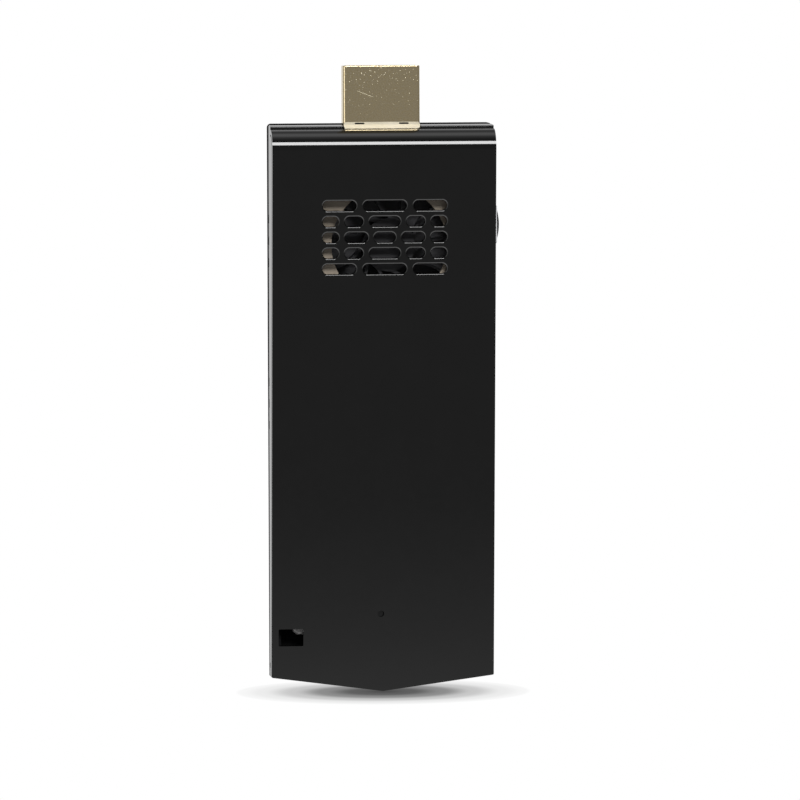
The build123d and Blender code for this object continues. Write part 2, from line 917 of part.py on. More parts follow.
# Card socket: a plastic base and a folded metal cover
with BuildPart() as card_socket_base:
    span_box(
        (card_back_x, card_front_x),
        around(card_y, card_width - 2 * card_sheet),
        (board_top, board_top + card_base),
    )
    span_box(
        (card_back_x, card_back_x + card_stop),
        around(card_y, card_width - 2 * card_sheet),
        (board_top + card_base, board_top + card_height - card_sheet),
    )
save(card_socket_base, "card_socket_base")

with BuildPart() as card_socket_cover:
    span_box(
        (card_back_x, card_front_x),
        around(card_y, card_width),
        (board_top + card_height - card_sheet, board_top + card_height),
    )
    for side in (-1, 1):
        outer = card_y + side * card_width / 2
        span_box(
            (card_back_x, card_front_x),
            sorted((outer, outer - side * card_sheet)),
            (board_top, board_top + card_height - card_sheet),
        )
save(card_socket_cover, "card_socket_cover")

# Power button key: a bowed face, a stem through the bezel and a flange behind the wall
key_edge_x = half_width + bezel_proud
key_peak_x = half_width + key_proud
with BuildPart() as power_button:
    with BuildSketch(Plane.XY.offset(button_z - key_size[1] / 2)):
        with BuildLine():
            low_y, high_y = around(button_y, key_size[0])
            Line((flange_inner_x, low_y), (flange_inner_x, high_y))
            Line((flange_inner_x, high_y), (key_edge_x, high_y))
            ThreePointArc((key_edge_x, high_y), (key_peak_x, button_y), (key_edge_x, low_y))
            Line((key_edge_x, low_y), (flange_inner_x, low_y))
        make_face()
    extrude(amount=key_size[1])
    span_box(
        (flange_inner_x, flange_inner_x + flange_thickness),
        around(button_y, flange_size[0]),
        around(button_z, flange_size[1]),
    )
save(power_button, "power_button")

# Bezel round the key: a sleeve in the wall and a tapered collar that stands proud of it
sleeve_inner_x = flange_inner_x + flange_thickness + 0.05
with BuildPart() as button_bezel:
    span_box(
        (sleeve_inner_x, half_width),
        around(button_y, sleeve_size[0]),
        around(button_z, sleeve_size[1]),
    )
    with BuildSketch(Plane.YZ.offset(half_width)):
        with Locations((button_y, button_z)):
            Rectangle(*bezel_size)
    extrude(amount=bezel_proud, taper=bezel_taper)
    span_box(
        (sleeve_inner_x - past, key_peak_x),
        around(button_y, key_size[0] + 2 * key_gap),
        around(button_z, key_size[1] + 2 * key_gap),
        mode=Mode.SUBTRACT,
    )
save(button_bezel, "button_bezel")

# Tact switch on the board: body with a guide for its plunger
switch_x = (14.3, 17.3)
switch_width = 4.4
switch_top = 7.4
plunger_size = (2.0, 1.2)
plunger_guide = 1.2
plunger_gap = 0.05
plunger_back = 0.5
plunger_tip_x = flange_inner_x - 0.02
with BuildPart() as tact_switch_body:
    span_box(switch_x, around(button_y, switch_width), (board_top, switch_top))
    span_box(
        (switch_x[1] - plunger_guide, switch_x[1]),
        around(button_y, plunger_size[0] + 2 * plunger_gap),
        around(button_z, plunger_size[1] + 2 * plunger_gap),
        mode=Mode.SUBTRACT,
    )
save(tact_switch_body, "tact_switch_body")

with BuildPart() as switch_plunger:
    span_box(
        (switch_x[1] - plunger_back, plunger_tip_x),
        around(button_y, plunger_size[0]),
        around(button_z, plunger_size[1]),
    )
save(switch_plunger, "switch_plunger")

# Status LED under the small hole, and the light pipe in the hole
led_size = (1.6, 0.8, 0.6)
pipe_gap = 0.05
pipe_bottom = board_top + led_size[2] + 0.2
pipe_recess = 0.7
pipe_top = face_z(light_hole_at[1]) - pipe_recess
chip("status_led", light_hole_at, led_size)
with BuildPart() as light_pipe:
    post(light_hole_at, light_hole_diameter / 2 - pipe_gap, pipe_bottom, pipe_top)
save(light_pipe, "light_pipe")

# Lanyard post behind the lanyard hole
lanyard_post_at = (-15.0, -40.9)
lanyard_post_radius = 1.35
lanyard_post_top = under_z(lanyard_post_at[1]) - 0.2
lanyard_post_round = 0.5
with BuildPart() as lanyard_post:
    post(lanyard_post_at, lanyard_post_radius, back_floor, lanyard_post_top)
    fillet(lanyard_post.faces().sort_by(Axis.Z)[-1].edges(), lanyard_post_round)
save(lanyard_post, "lanyard_post")
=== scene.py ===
import math

import bmesh
import bpy
from mathutils import Matrix, Vector


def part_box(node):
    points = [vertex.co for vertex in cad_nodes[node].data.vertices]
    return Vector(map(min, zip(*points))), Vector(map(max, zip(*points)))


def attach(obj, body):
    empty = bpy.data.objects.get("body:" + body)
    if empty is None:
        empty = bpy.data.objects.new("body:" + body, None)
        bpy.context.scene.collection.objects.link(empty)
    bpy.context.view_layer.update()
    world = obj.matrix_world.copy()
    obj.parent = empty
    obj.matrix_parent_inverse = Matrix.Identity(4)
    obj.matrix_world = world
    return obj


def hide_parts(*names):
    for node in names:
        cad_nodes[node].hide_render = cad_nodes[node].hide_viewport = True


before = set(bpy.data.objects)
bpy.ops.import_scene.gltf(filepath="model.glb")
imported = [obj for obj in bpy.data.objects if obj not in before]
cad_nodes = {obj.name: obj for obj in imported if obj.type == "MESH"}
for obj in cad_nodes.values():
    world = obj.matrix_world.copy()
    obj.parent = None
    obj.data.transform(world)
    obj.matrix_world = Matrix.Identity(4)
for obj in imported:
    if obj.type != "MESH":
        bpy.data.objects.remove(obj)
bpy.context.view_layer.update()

bl_info = {
    "name": "Stick computer",
    "version": (1, 0, 0),
    "blender": (4, 5, 0),
    "location": "View3D > Sidebar > Stick computer",
    "description": "Gives the packed stick computer its finishes, its contacts and its stage",
    "category": "Object",
}

MM = 0.001
WHITE = "#FFFFFF"

# Most values of a noise lie between these two
NOISE_LOW = 0.35
NOISE_HIGH = 0.65
# The size of the slow patches in a moulded colour
MOTTLE_MM = 6.0
# A Mix node has sockets for each kind of value, and these are its colours
MIX_FIRST = 6
MIX_SECOND = 7
MIX_RESULT = 2

# The long scratch on the plug: its middle, half its length and width, and its turn
SCRATCH_AT = (-3.0 * MM, 55.25 * MM, 0)
SCRATCH_SIZE = (1.75 * MM, 0.02 * MM)
SCRATCH_TURN = math.radians(-21)
# The nicks: how far apart their cells are, and how large the largest is beside its cell
NICK_PITCH_MM = 0.24
NICK_SIZE = 0.6
# The share of cells that have a nick grows from the plug's root to its mouth
RUBBED_ALONG = (51 * MM, 59 * MM)
RUBBED_SHARE = (0.22, 0.48)
# The shell's own grain, the finer grain and the depth of its relief, and how dull it and its nicks are
SHELL_GRAIN_MM = 0.3
SHELL_RELIEF_MM = 0.12
SHELL_RELIEF_UM = 1.2
SHELL_ROUGHNESS = (0.12, 0.2)
NICK_ROUGHNESS = 0.55

# A contact's curve: how far along it the two handles are, and its number of steps
FIRST_HANDLE = 0.4
SECOND_HANDLE = 0.86
STRIP_STEPS = 12
# The plug's rows: how many contacts each has, and if it is on the slot's upper wall, 1, or lower, -1
PLUG_ROWS = ((10, 1), (9, -1))
# The slot's height, and how far the contacts are clear of its walls
SLOT_HEIGHT = 1.9 * MM
CONTACT_GAP = 0.02 * MM
# How far a contact bends into the slot near its tip
PLUG_BEND = 0.3 * MM
# The contacts' tails on the board
TAIL_LENGTH = 1.2 * MM
TAIL_BEND = 0.1 * MM
# The USB socket's four contacts: their places from its tongue's middle, their width and their bend
USB_PLACES = (-3.5 * MM, -1.0 * MM, 1.0 * MM, 3.5 * MM)
USB_WIDTH = 1.0 * MM
USB_BEND = 0.35 * MM

# The photograph's side in pixels, and the stick's middle in its pixels and in metres
PICTURE = 800
MIDDLE_PIXEL = (381.28, 400.67)
MIDDLE = Vector((0.0, -0.1, 5.0)) * MM
# The studio that gloss shows: its level from below the pointed end, at -1, to past the plug, at 1
STUDIO_LEVELS = (
    (-1.0, 2.4),
    (-0.5, 2.2),
    (-0.36, 1.1),
    (-0.225, 0.75),
    (-0.21, 0.42),
    (-0.195, 0.27),
    (0.1, 0.2),
    (0.68, 0.1),
    (0.85, 0.25),
    (0.95, 0.6),
    (1.0, 1.5),
)
# The studio's tall panel, to the left and a little in front, is brighter than white. An edge is where
# it begins and where it is whole, in the X or the Z of the direction that is looked in
PANEL_COLOUR = (1.5, 1.5, 1.5, 1.0)
PANEL_EDGE_X = (-0.5, -0.65)
PANEL_EDGE_Z = (0.2, 0.3)
# The studio's pale wall behind the stick
WALL_COLOUR = "#E8E8E8"
WALL_EDGE_Z = (-0.5, -0.8)
# The softbox lights the front, so the even light that falls from there is weaker than from behind
EVEN_EDGE_Z = (0.0, -0.6)
EVEN_LEVELS = (0.3, 0.9)

# The softbox: how far off it is, how far to the right, half its width, and its lower and upper edge
SOFTBOX_AWAY = 1.3
SOFTBOX_ACROSS = math.radians(6.7)
SOFTBOX_HALF_WIDTH = math.radians(12)
SOFTBOX_EDGES = (math.radians(24.0), math.radians(41.0))

# The floor is a disc just below the pointed end
TIP_Y = -52.6 * MM
FLOOR_GAP = 0.05 * MM
FLOOR_RADIUS = 60 * MM
FLOOR_SIDES = 96
# The painted shadow on it: the height of its middle, its reach across and forwards, and its levels
# outwards
SHADOW_Z = 6.0 * MM
SHADOW_RADII = (27.0 * MM, 24.0 * MM)
SHADOW_LEVELS = (
    (0.0, 0.075),
    (0.2, 0.115),
    (0.41, 0.265),
    (0.61, 0.58),
    (0.81, 0.84),
    (0.95, 0.93),
    (1.0, 1.0),
)


def linear(hex_colour):
    """An sRGB hex colour as linear red, green, blue and alpha."""
    channels = [int(hex_colour[place:place + 2], 16) / 255 for place in (1, 3, 5)]
    return tuple(c / 12.92 if c <= 0.04045 else ((c + 0.055) / 1.055) ** 2.4 for c in channels) + (1.0,)


def add_node(tree, kind, inputs=None, **settings):
    """Adds a node, with its settings, and with each input set to a value or linked to a socket."""
    node = tree.nodes.new(kind)
    for name, value in settings.items():
        setattr(node, name, value)
    for name, value in (inputs or {}).items():
        if isinstance(value, bpy.types.NodeSocket):
            tree.links.new(value, node.inputs[name])
        else:
            node.inputs[name].default_value = value
    return node


def new_material(name):
    """An empty node material and its output node."""
    material = bpy.data.materials.new(name)
    material.use_nodes = True
    material.node_tree.nodes.clear()
    output = add_node(material.node_tree, "ShaderNodeOutputMaterial")
    return material, output


def grain(tree, size_mm, stretch=(1, 1, 1), detail=3.0):
    """A noise in the object's own coordinates whose grains have a real size in millimetres."""
    place = add_node(tree, "ShaderNodeTexCoord").outputs["Object"]
    mapping = add_node(tree, "ShaderNodeMapping", {"Vector": place, "Scale": stretch})
    noise = add_node(
        tree,
        "ShaderNodeTexNoise",
        {"Vector": mapping.outputs["Vector"], "Scale": 1 / (size_mm * MM), "Detail": detail},
    )
    return noise.outputs["Fac"]


def moulded(
    name,
    colours,
    roughness,
    grain_mm,
    relief_um,
    ior=1.5,
    metallic=0.0,
    stretch=(1, 1, 1),
    shine=0.5,
):
    """A finish with a slow mottle between two colours, and a fine grain in its roughness and relief."""
    material, output = new_material(name)
    tree = material.node_tree
    fine = grain(tree, grain_mm, stretch)
    mottle = add_node(
        tree,
        "ShaderNodeMapRange",
        {"Value": grain(tree, MOTTLE_MM), "From Min": NOISE_LOW, "From Max": NOISE_HIGH},
    )
    colour = add_node(
        tree,
        "ShaderNodeMix",
        {
            "Factor": mottle.outputs["Result"],
            MIX_FIRST: linear(colours[0]),
            MIX_SECOND: linear(colours[1]),
        },
        data_type="RGBA",
    )
    dullness = add_node(
        tree,
        "ShaderNodeMapRange",
        {
            "Value": fine,
            "From Min": NOISE_LOW,
            "From Max": NOISE_HIGH,
            "To Min": roughness[0],
            "To Max": roughness[1],
        },
    )
    relief = add_node(
        tree,
        "ShaderNodeBump",
        {"Height": fine, "Distance": relief_um * MM * MM, "Strength": 1.0},
    )
    shader = add_node(
        tree,
        "ShaderNodeBsdfPrincipled",
        {
            "Base Color": colour.outputs[MIX_RESULT],
            "Roughness": dullness.outputs["Result"],
            "Metallic": metallic,
            "Specular IOR Level": shine,
            "Normal": relief.outputs["Normal"],
        },
    )
    if not metallic:
        shader.inputs["IOR"].default_value = ior
    tree.links.new(shader.outputs["BSDF"], output.inputs["Surface"])
    return material


def dress(material, *names):
    """Gives CAD nodes their finish."""
    for name in names:
        for place in cad_nodes[name].material_slots:
            place.material = material


def finish_mesh(name, mesh, material, body, slot, *replaced):
    """Puts a finished mesh in the scene, on its body's empty, and hides the CAD nodes that it replaces.
    """
    piece = bpy.data.objects.new(name, mesh)
    bpy.context.collection.objects.link(piece)
    mesh.materials.clear()
    mesh.materials.append(material)
    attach(piece, body)
    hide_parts(*replaced)
    return piece


class FinishColours(bpy.types.PropertyGroup):
    """The colours that an owner would choose."""

    lid: bpy.props.StringProperty(
        name="Lid", description="Gloss black of the lid, sRGB hex", default="#080808"
    )
    band: bpy.props.StringProperty(
        name="Band", description="Gloss black of the side band, sRGB hex", default="#0B0B0B"
    )
    back: bpy.props.StringProperty(
        name="Back", description="Matte black of the back cover, sRGB hex", default="#161617"
    )
    plug: bpy.props.StringProperty(
        name="Plug", description="Pale gold of the plug shell, sRGB hex", default="#EEDDB8"
    )
    bezel: bpy.props.StringProperty(
        name="Bezel", description="Light grey round the button, sRGB hex", default="#DCDDDE"
    )
    fan_sheet: bpy.props.StringProperty(
        name="Fan sheet", description="Tan sheet over the fan, sRGB hex", default="#A09484"
    )


class ContactSizes(bpy.types.PropertyGroup):
    """The sizes of the plug's and the socket's contacts."""

    pitch: bpy.props.FloatProperty(
        name="Pitch",
        description="From one plug contact to the next",
        default=1.0 * MM,
        unit="LENGTH",
        precision=5,
    )
    width: bpy.props.FloatProperty(
        name="Width",
        description="Width of a plug contact",
        default=0.4 * MM,
        unit="LENGTH",
        precision=5,
    )
    thickness: bpy.props.FloatProperty(
        name="Thickness",
        description="Thickness of a contact's strip",
        default=0.14 * MM,
        unit="LENGTH",
        precision=5,
    )
    length: bpy.props.FloatProperty(
        name="Length",
        description="Length of a plug contact",
        default=7.0 * MM,
        unit="LENGTH",
        precision=5,
    )


class StageSettings(bpy.types.PropertyGroup):
    """The camera and the light."""

    pitch: bpy.props.FloatProperty(
        name="Pitch",
        description="Camera above the face's normal",
        default=math.radians(3.5),
        subtype="ANGLE",
    )
    yaw: bpy.props.FloatProperty(
        name="Yaw",
        description="Camera to the left of the face",
        default=math.radians(6.70),
        subtype="ANGLE",
    )
    roll: bpy.props.FloatProperty(
        name="Roll",
        description="Turn of the picture",
        default=math.radians(0.641),
        subtype="ANGLE",
    )
    distance: bpy.props.FloatProperty(
        name="Distance",
        description="Camera to the stick's middle",
        default=1.425,
        unit="LENGTH",
    )
    lens: bpy.props.FloatProperty(
        name="Lens", description="Focal length in millimetres", default=355.69
    )
    softbox: bpy.props.FloatProperty(
        name="Softbox", description="Brightness of the softbox", default=18.0
    )


def contact_tree():
    """A row of bent contact strips: a line of points, each with a strip swept along a bent path."""
    tree = bpy.data.node_groups.new("contact_row", "GeometryNodeTree")
    sockets = (
        ("Count", "NodeSocketInt"),
        ("Pitch", "NodeSocketFloat"),
        ("Start", "NodeSocketVector"),
        ("Length", "NodeSocketFloat"),
        ("Width", "NodeSocketFloat"),
        ("Thickness", "NodeSocketFloat"),
        ("Lift", "NodeSocketVector"),
        ("Along", "NodeSocketVector"),
        ("Across", "NodeSocketVector"),
        ("Finish", "NodeSocketMaterial"),
    )
    for name, kind in sockets:
        tree.interface.new_socket(name, in_out="INPUT", socket_type=kind)
    tree.interface.new_socket("Geometry", in_out="OUTPUT", socket_type="NodeSocketGeometry")
    given = add_node(tree, "NodeGroupInput").outputs
    step = add_node(
        tree,
        "ShaderNodeVectorMath",
        {0: given["Across"], "Scale": given["Pitch"]},
        operation="SCALE",
    )
    points = add_node(
        tree,
        "GeometryNodeMeshLine",
        {"Count": given["Count"], "Start Location": given["Start"], "Offset": step.outputs[0]},
        mode="OFFSET",
    )
    whole = add_node(
        tree,
        "ShaderNodeVectorMath",
        {0: given["Along"], "Scale": given["Length"]},
        operation="SCALE",
    )
    near_root = add_node(
        tree,
        "ShaderNodeVectorMath",
        {0: whole.outputs[0], "Scale": FIRST_HANDLE},
        operation="SCALE",
    )
    near_tip = add_node(
        tree,
        "ShaderNodeVectorMath",
        {0: whole.outputs[0], "Scale": SECOND_HANDLE},
        operation="SCALE",
    )
    lifted = add_node(
        tree,
        "ShaderNodeVectorMath",
        {0: near_tip.outputs[0], 1: given["Lift"]},
        operation="ADD",
    )
    path = add_node(
        tree,
        "GeometryNodeCurvePrimitiveBezierSegment",
        {
            "Start": (0, 0, 0),
            "Start Handle": near_root.outputs[0],
            "End Handle": lifted.outputs[0],
            "End": whole.outputs[0],
            "Resolution": STRIP_STEPS,
        },
    )
    strip = add_node(
        tree,
        "GeometryNodeCurvePrimitiveQuadrilateral",
        {"Width": given["Thickness"], "Height": given["Width"]},
    )
    sweep = add_node(
        tree,
        "GeometryNodeCurveToMesh",
        {"Curve": path.outputs["Curve"], "Profile Curve": strip.outputs["Curve"], "Fill Caps": True},
    )
    row = add_node(
        tree,
        "GeometryNodeInstanceOnPoints",
        {"Points": points.outputs["Mesh"], "Instance": sweep.outputs["Mesh"]},
    )
    real = add_node(tree, "GeometryNodeRealizeInstances", {"Geometry": row.outputs["Instances"]})
    finished = add_node(
        tree,
        "GeometryNodeSetMaterial",
        {"Geometry": real.outputs["Geometry"], "Material": given["Finish"]},
    )
    add_node(tree, "NodeGroupOutput", {"Geometry": finished.outputs["Geometry"]})
    return tree


def grow(tree, values):
    """Runs a geometry tree with its inputs set by name, and returns the plain mesh."""
    carrier = bpy.data.objects.new("carrier", bpy.data.meshes.new("carrier"))
    bpy.context.collection.objects.link(carrier)
    modifier = carrier.modifiers.new("row", "NODES")
    modifier.node_group = tree
    items = tree.interface.items_tree
    identifiers = {item.name: item.identifier for item in items if item.in_out == "INPUT"}
    for name, value in values.items():
        modifier[identifiers[name]] = value
    bpy.context.view_layer.update()
    grown = carrier.evaluated_get(bpy.context.evaluated_depsgraph_get())
    mesh = bpy.data.meshes.new_from_object(grown)
    bpy.data.objects.remove(carrier)
    return mesh


def joined(meshes, name):
    """Several meshes as one, with their normals outwards."""
    shape = bmesh.new()
    for mesh in meshes:
        shape.from_mesh(mesh)
    bmesh.ops.recalc_face_normals(shape, faces=shape.faces)
    result = bpy.data.meshes.new(name)
    shape.to_mesh(result)
    shape.free()
    return result


class STICK_OT_case(bpy.types.Operator):
    """Finishes the lid, the side band, the back cover and its screws."""

    bl_idname = "stick.case"
    bl_label = "Case"

    def execute(self, context):
        colours = context.scene.stick_colours
        # ABS from a polished tool: near-black and mirror-like, with a faint orange peel
        lid = moulded(
            "polished_abs_lid",
            (colours.lid, "#0A0A0A"),
            roughness=(0.03, 0.05),
            grain_mm=1.6,
            relief_um=0.12,
        )
        # The band's tool has a little more wear, so its shine is a little softer
        band = moulded(
            "polished_abs_band",
            (colours.band, "#0E0E0E"),
            roughness=(0.04, 0.07),
            grain_mm=1.4,
            relief_um=0.15,
        )
        # The back cover's tool was spark-eroded: a fine even grain that scatters the light
        back = moulded(
            "spark_textured_abs",
            (colours.back, "#1A1A1B"),
            roughness=(0.85, 0.95),
            grain_mm=0.25,
            relief_um=8.0,
            shine=0.03,
        )
        # Black oxide on steel: dull, with a little metal in it
        screw = moulded(
            "black_oxide_steel",
            ("#3A3A3B", "#444446"),
            roughness=(0.3, 0.45),
            grain_mm=0.2,
            relief_um=3.0,
            metallic=1.0,
        )
        dress(lid, "front_cover")
        dress(band, "middle_frame")
        dress(back, "back_cover")
        screws = [name for name in cad_nodes if name.startswith("case_screw")]
        dress(screw, *screws)
        return {"FINISHED"}


def plug_gold(colour):
    """Thin gold over a pressed steel shell: smooth, with fine nicks and one long scratch."""
    material, output = new_material("gold_flashed_steel")
    tree = material.node_tree
    place = add_node(tree, "ShaderNodeTexCoord").outputs["Object"]
    rubbed = grain(tree, SHELL_GRAIN_MM, detail=2.0)
    tone = add_node(
        tree,
        "ShaderNodeMapRange",
        {"Value": rubbed, "From Min": NOISE_LOW, "From Max": NOISE_HIGH},
    )
    plate = add_node(
        tree,
        "ShaderNodeMix",
        {
            "Factor": tone.outputs["Result"],
            MIX_FIRST: linear(colour),
            MIX_SECOND: linear("#DAC79C"),
        },
        data_type="RGBA",
    )
    dullness = add_node(
        tree,
        "ShaderNodeMapRange",
        {
            "Value": rubbed,
            "From Min": NOISE_LOW,
            "From Max": NOISE_HIGH,
            "To Min": SHELL_ROUGHNESS[0],
            "To Max": SHELL_ROUGHNESS[1],
        },
    )
    # the scratch is a long thin ellipse: a point is in it when its reach is below 1
    turned = add_node(
        tree,
        "ShaderNodeMapping",
        {"Vector": place, "Location": SCRATCH_AT, "Rotation": (0, 0, SCRATCH_TURN)},
        vector_type="TEXTURE",
    )
    squeezed = add_node(
        tree,
        "ShaderNodeVectorMath",
        {0: turned.outputs["Vector"], 1: (1 / SCRATCH_SIZE[0], 1 / SCRATCH_SIZE[1], 0)},
        operation="MULTIPLY",
    )
    reach = add_node(tree, "ShaderNodeVectorMath", {0: squeezed.outputs[0]}, operation="LENGTH")
    scratch = add_node(
        tree,
        "ShaderNodeMath",
        {0: reach.outputs["Value"], 1: 1.0},
        operation="LESS_THAN",
    )
    # a cell has a nick when its lot is below the share, which is larger near the mouth
    cells = add_node(
        tree,
        "ShaderNodeTexVoronoi",
        {"Vector": place, "Scale": 1 / (NICK_PITCH_MM * MM)},
    )
    lot = add_node(tree, "ShaderNodeSeparateXYZ", {"Vector": cells.outputs["Color"]})
    along = add_node(tree, "ShaderNodeSeparateXYZ", {"Vector": place})
    share = add_node(
        tree,
        "ShaderNodeMapRange",
        {
            "Value": along.outputs["Y"],
            "From Min": RUBBED_ALONG[0],
            "From Max": RUBBED_ALONG[1],
            "To Min": RUBBED_SHARE[0],
            "To Max": RUBBED_SHARE[1],
        },
    )
    excess = add_node(
        tree,
        "ShaderNodeMath",
        {0: share.outputs["Result"], 1: lot.outputs["X"]},
        operation="SUBTRACT",
    )
    radius = add_node(
        tree,
        "ShaderNodeMath",
        {0: excess.outputs[0], 1: NICK_SIZE},
        operation="MULTIPLY",
    )
    nicked = add_node(
        tree,
        "ShaderNodeMath",
        {0: cells.outputs["Distance"], 1: radius.outputs[0]},
        operation="LESS_THAN",
    )
    worn = add_node(
        tree,
        "ShaderNodeMath",
        {0: nicked.outputs[0], 1: scratch.outputs[0]},
        operation="MAXIMUM",
    )
    relief = add_node(
        tree,
        "ShaderNodeBump",
        {
            "Height": grain(tree, SHELL_RELIEF_MM, detail=2.0),
            "Distance": SHELL_RELIEF_UM * MM * MM,
            "Strength": 1.0,
        },
    )
    polished = add_node(
        tree,
        "ShaderNodeBsdfPrincipled",
        {
            "Base Color": plate.outputs[MIX_RESULT],
            "Metallic": 1.0,
            "Roughness": dullness.outputs["Result"],
            "Normal": relief.outputs["Normal"],
        },
    )
    scuffed = add_node(
        tree,
        "ShaderNodeBsdfPrincipled",
        {"Base Color": linear("#EDE4C8"), "Metallic": 1.0, "Roughness": NICK_ROUGHNESS},
    )
    either = add_node(
        tree,
        "ShaderNodeMixShader",
        {0: worn.outputs[0], 1: polished.outputs["BSDF"], 2: scuffed.outputs["BSDF"]},
    )
    tree.links.new(either.outputs[0], output.inputs["Surface"])
    return material


class STICK_OT_plug(bpy.types.Operator):
    """Finishes the plug, and makes its nineteen contacts and the USB socket's four."""

    bl_idname = "stick.plug"
    bl_label = "HDMI plug and contacts"

    def execute(self, context):
        dress(plug_gold(context.scene.stick_colours.plug), "hdmi_plug_shell")
        # The collar is given a paler gold than the shell: a painted highlight for the bright cream band
        # along it
        collar = moulded(
            "pale_gold_collar_painted_highlight",
            ("#F6EEDA", "#EEE5CC"),
            roughness=(0.3, 0.4),
            grain_mm=0.3,
            relief_um=2.0,
            metallic=1.0,
        )
        # Glass-filled nylon: black, slightly rough
        nylon = moulded(
            "glass_filled_nylon",
            ("#121213", "#1A1A1B"),
            roughness=(0.4, 0.55),
            grain_mm=0.3,
            relief_um=4.0,
        )
        # Gold plate over phosphor bronze: deep yellow and bright
        gold = moulded(
            "contact_gold",
            ("#E2BD66", "#D6AE55"),
            roughness=(0.16, 0.24),
            grain_mm=0.2,
            relief_um=1.0,
            metallic=1.0,
        )
        dress(collar, "hdmi_plug_collar")
        dress(nylon, "hdmi_plug_insulator", "usb_socket_tongue", "power_socket_tongue")
        dress(nylon, "card_socket_base", "switch_plunger")
        dress(gold, "antenna_strip")

        sizes = context.scene.stick_contacts
        tree = contact_tree()
        low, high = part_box("hdmi_plug_contacts")
        plug_rows = []
        for count, side in PLUG_ROWS:
            wall = high.z if side > 0 else high.z - SLOT_HEIGHT
            level = wall - side * (sizes.thickness / 2 + CONTACT_GAP)
            start_x = -(count - 1) / 2 * sizes.pitch
            shared = {
                "Count": count,
                "Pitch": sizes.pitch,
                "Thickness": sizes.thickness,
                "Along": (0, 1, 0),
                "Across": (1, 0, 0),
                "Finish": gold,
            }
            strips = {
                "Start": (start_x, high.y - sizes.length, level),
                "Length": sizes.length,
                "Width": sizes.width,
                "Lift": (0, 0, -side * PLUG_BEND),
            }
            tails = {
                "Start": (start_x, low.y, low.z + sizes.thickness / 2),
                "Length": TAIL_LENGTH,
                "Width": sizes.width / 2,
                "Lift": (0, 0, TAIL_BEND),
            }
            for half in (strips, tails):
                plug_rows.append(grow(tree, {**shared, **half}))
        plug_strips = joined(plug_rows, "plug_contact_strips")
        finish_mesh(
            "plug_contact_strips", plug_strips, gold, "case", "contact_gold", "hdmi_plug_contacts"
        )

        low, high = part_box("usb_socket_contacts")
        middle_y = (low.y + high.y) / 2
        usb_springs = []
        for offset in USB_PLACES:
            spring = {
                "Count": 1,
                "Pitch": sizes.pitch,
                "Thickness": sizes.thickness,
                "Along": (1, 0, 0),
                "Across": (0, 1, 0),
                "Finish": gold,
                "Start": (low.x, middle_y + offset, high.z - sizes.thickness),
                "Length": high.x - low.x,
                "Width": USB_WIDTH,
                "Lift": (0, 0, -USB_BEND),
            }
            usb_springs.append(grow(tree, spring))
        usb_strips = joined(usb_springs, "usb_contact_strips")
        finish_mesh(
            "usb_contact_strips", usb_strips, gold, "case", "contact_gold", "usb_socket_contacts"
        )
        return {"FINISHED"}


class STICK_OT_sockets(bpy.types.Operator):
    """Finishes the sheet metal of the sockets and of the other plated pieces."""

    bl_idname = "stick.sockets"
    bl_label = "Side sockets"

    def execute(self, context):
        # Tin-plated steel sheet, rolled along the stick: fine lines, a soft shine
        tin = moulded(
            "tinned_steel_sheet",
            ("#C2C1BC", "#B4B3AD"),
            roughness=(0.2, 0.34),
            grain_mm=0.25,
            relief_um=1.5,
            metallic=1.0,
            stretch=(1, 0.1, 1),
        )
        dress(tin, "usb_socket_shell", "power_socket_shell", "card_socket_cover")
        dress(tin, "wireless_module", "clock_crystal", "fan_shaft")
        return {"FINISHED"}


class STICK_OT_fan(bpy.types.Operator):
    """Finishes the fan behind the grille and its lead, and the light, which is the same nylon."""

    bl_idname = "stick.fan"
    bl_label = "Fan"

    def execute(self, context):
        # Lacquered sheet over the fan: a warm tan with a satin skin
        sheet = moulded(
            "lacquered_fan_sheet",
            (context.scene.stick_colours.fan_sheet, "#938878"),
            roughness=(0.35, 0.5),
            grain_mm=0.4,
            relief_um=2.0,
        )
        # PBT, as fan blades are moulded in: dull and dark grey, kept darker than the housing as painted
        # shade on the lit blades
        blades = moulded(
            "moulded_pbt",
            ("#363638", "#3E3E40"),
            roughness=(0.55, 0.7),
            grain_mm=0.5,
            relief_um=2.0,
            shine=0.2,
        )
        # The housing is the same plastic, painted paler than the blades: painted light that lifts the
        # shade it lies in
        housing = moulded(
            "pbt_housing_painted_light",
            ("#454547", "#4B4B4D"),
            roughness=(0.6, 0.75),
            grain_mm=0.5,
            relief_um=2.0,
            shine=0.2,
        )
        # Sintered bronze, open-grained and oiled
        bronze = moulded(
            "sintered_bronze",
            ("#A07B4A", "#8C693C"),
            roughness=(0.4, 0.55),
            grain_mm=0.1,
            relief_um=4.0,
            metallic=1.0,
        )
        # Ferrite powder in a binder: dark grey, finely speckled and dull
        ferrite = moulded(
            "bonded_ferrite",
            ("#2A2A2C", "#343436"),
            roughness=(0.5, 0.65),
            grain_mm=0.15,
            relief_um=4.0,
        )
        # Extruded PVC round the wires: black and satin
        sleeve = moulded(
            "pvc_wire_sleeve",
            ("#161616", "#1E1E1E"),
            roughness=(0.4, 0.5),
            grain_mm=0.4,
            relief_um=2.0,
        )
        # Nylon without a dye: the colour of bone
        natural = moulded(
            "natural_nylon",
            ("#D8D3C4", "#CCC6B6"),
            roughness=(0.4, 0.5),
            grain_mm=0.4,
            relief_um=2.0,
        )
        dress(sheet, "fan_top_plate")
        dress(blades, "fan_rotor")
        dress(housing, "fan_housing")
        dress(bronze, "fan_bearing_sleeve", "fan_stator")
        dress(ferrite, "fan_magnet_ring")
        dress(sleeve, "fan_lead")
        dress(natural, "fan_lead_socket", "status_led")
        return {"FINISHED"}


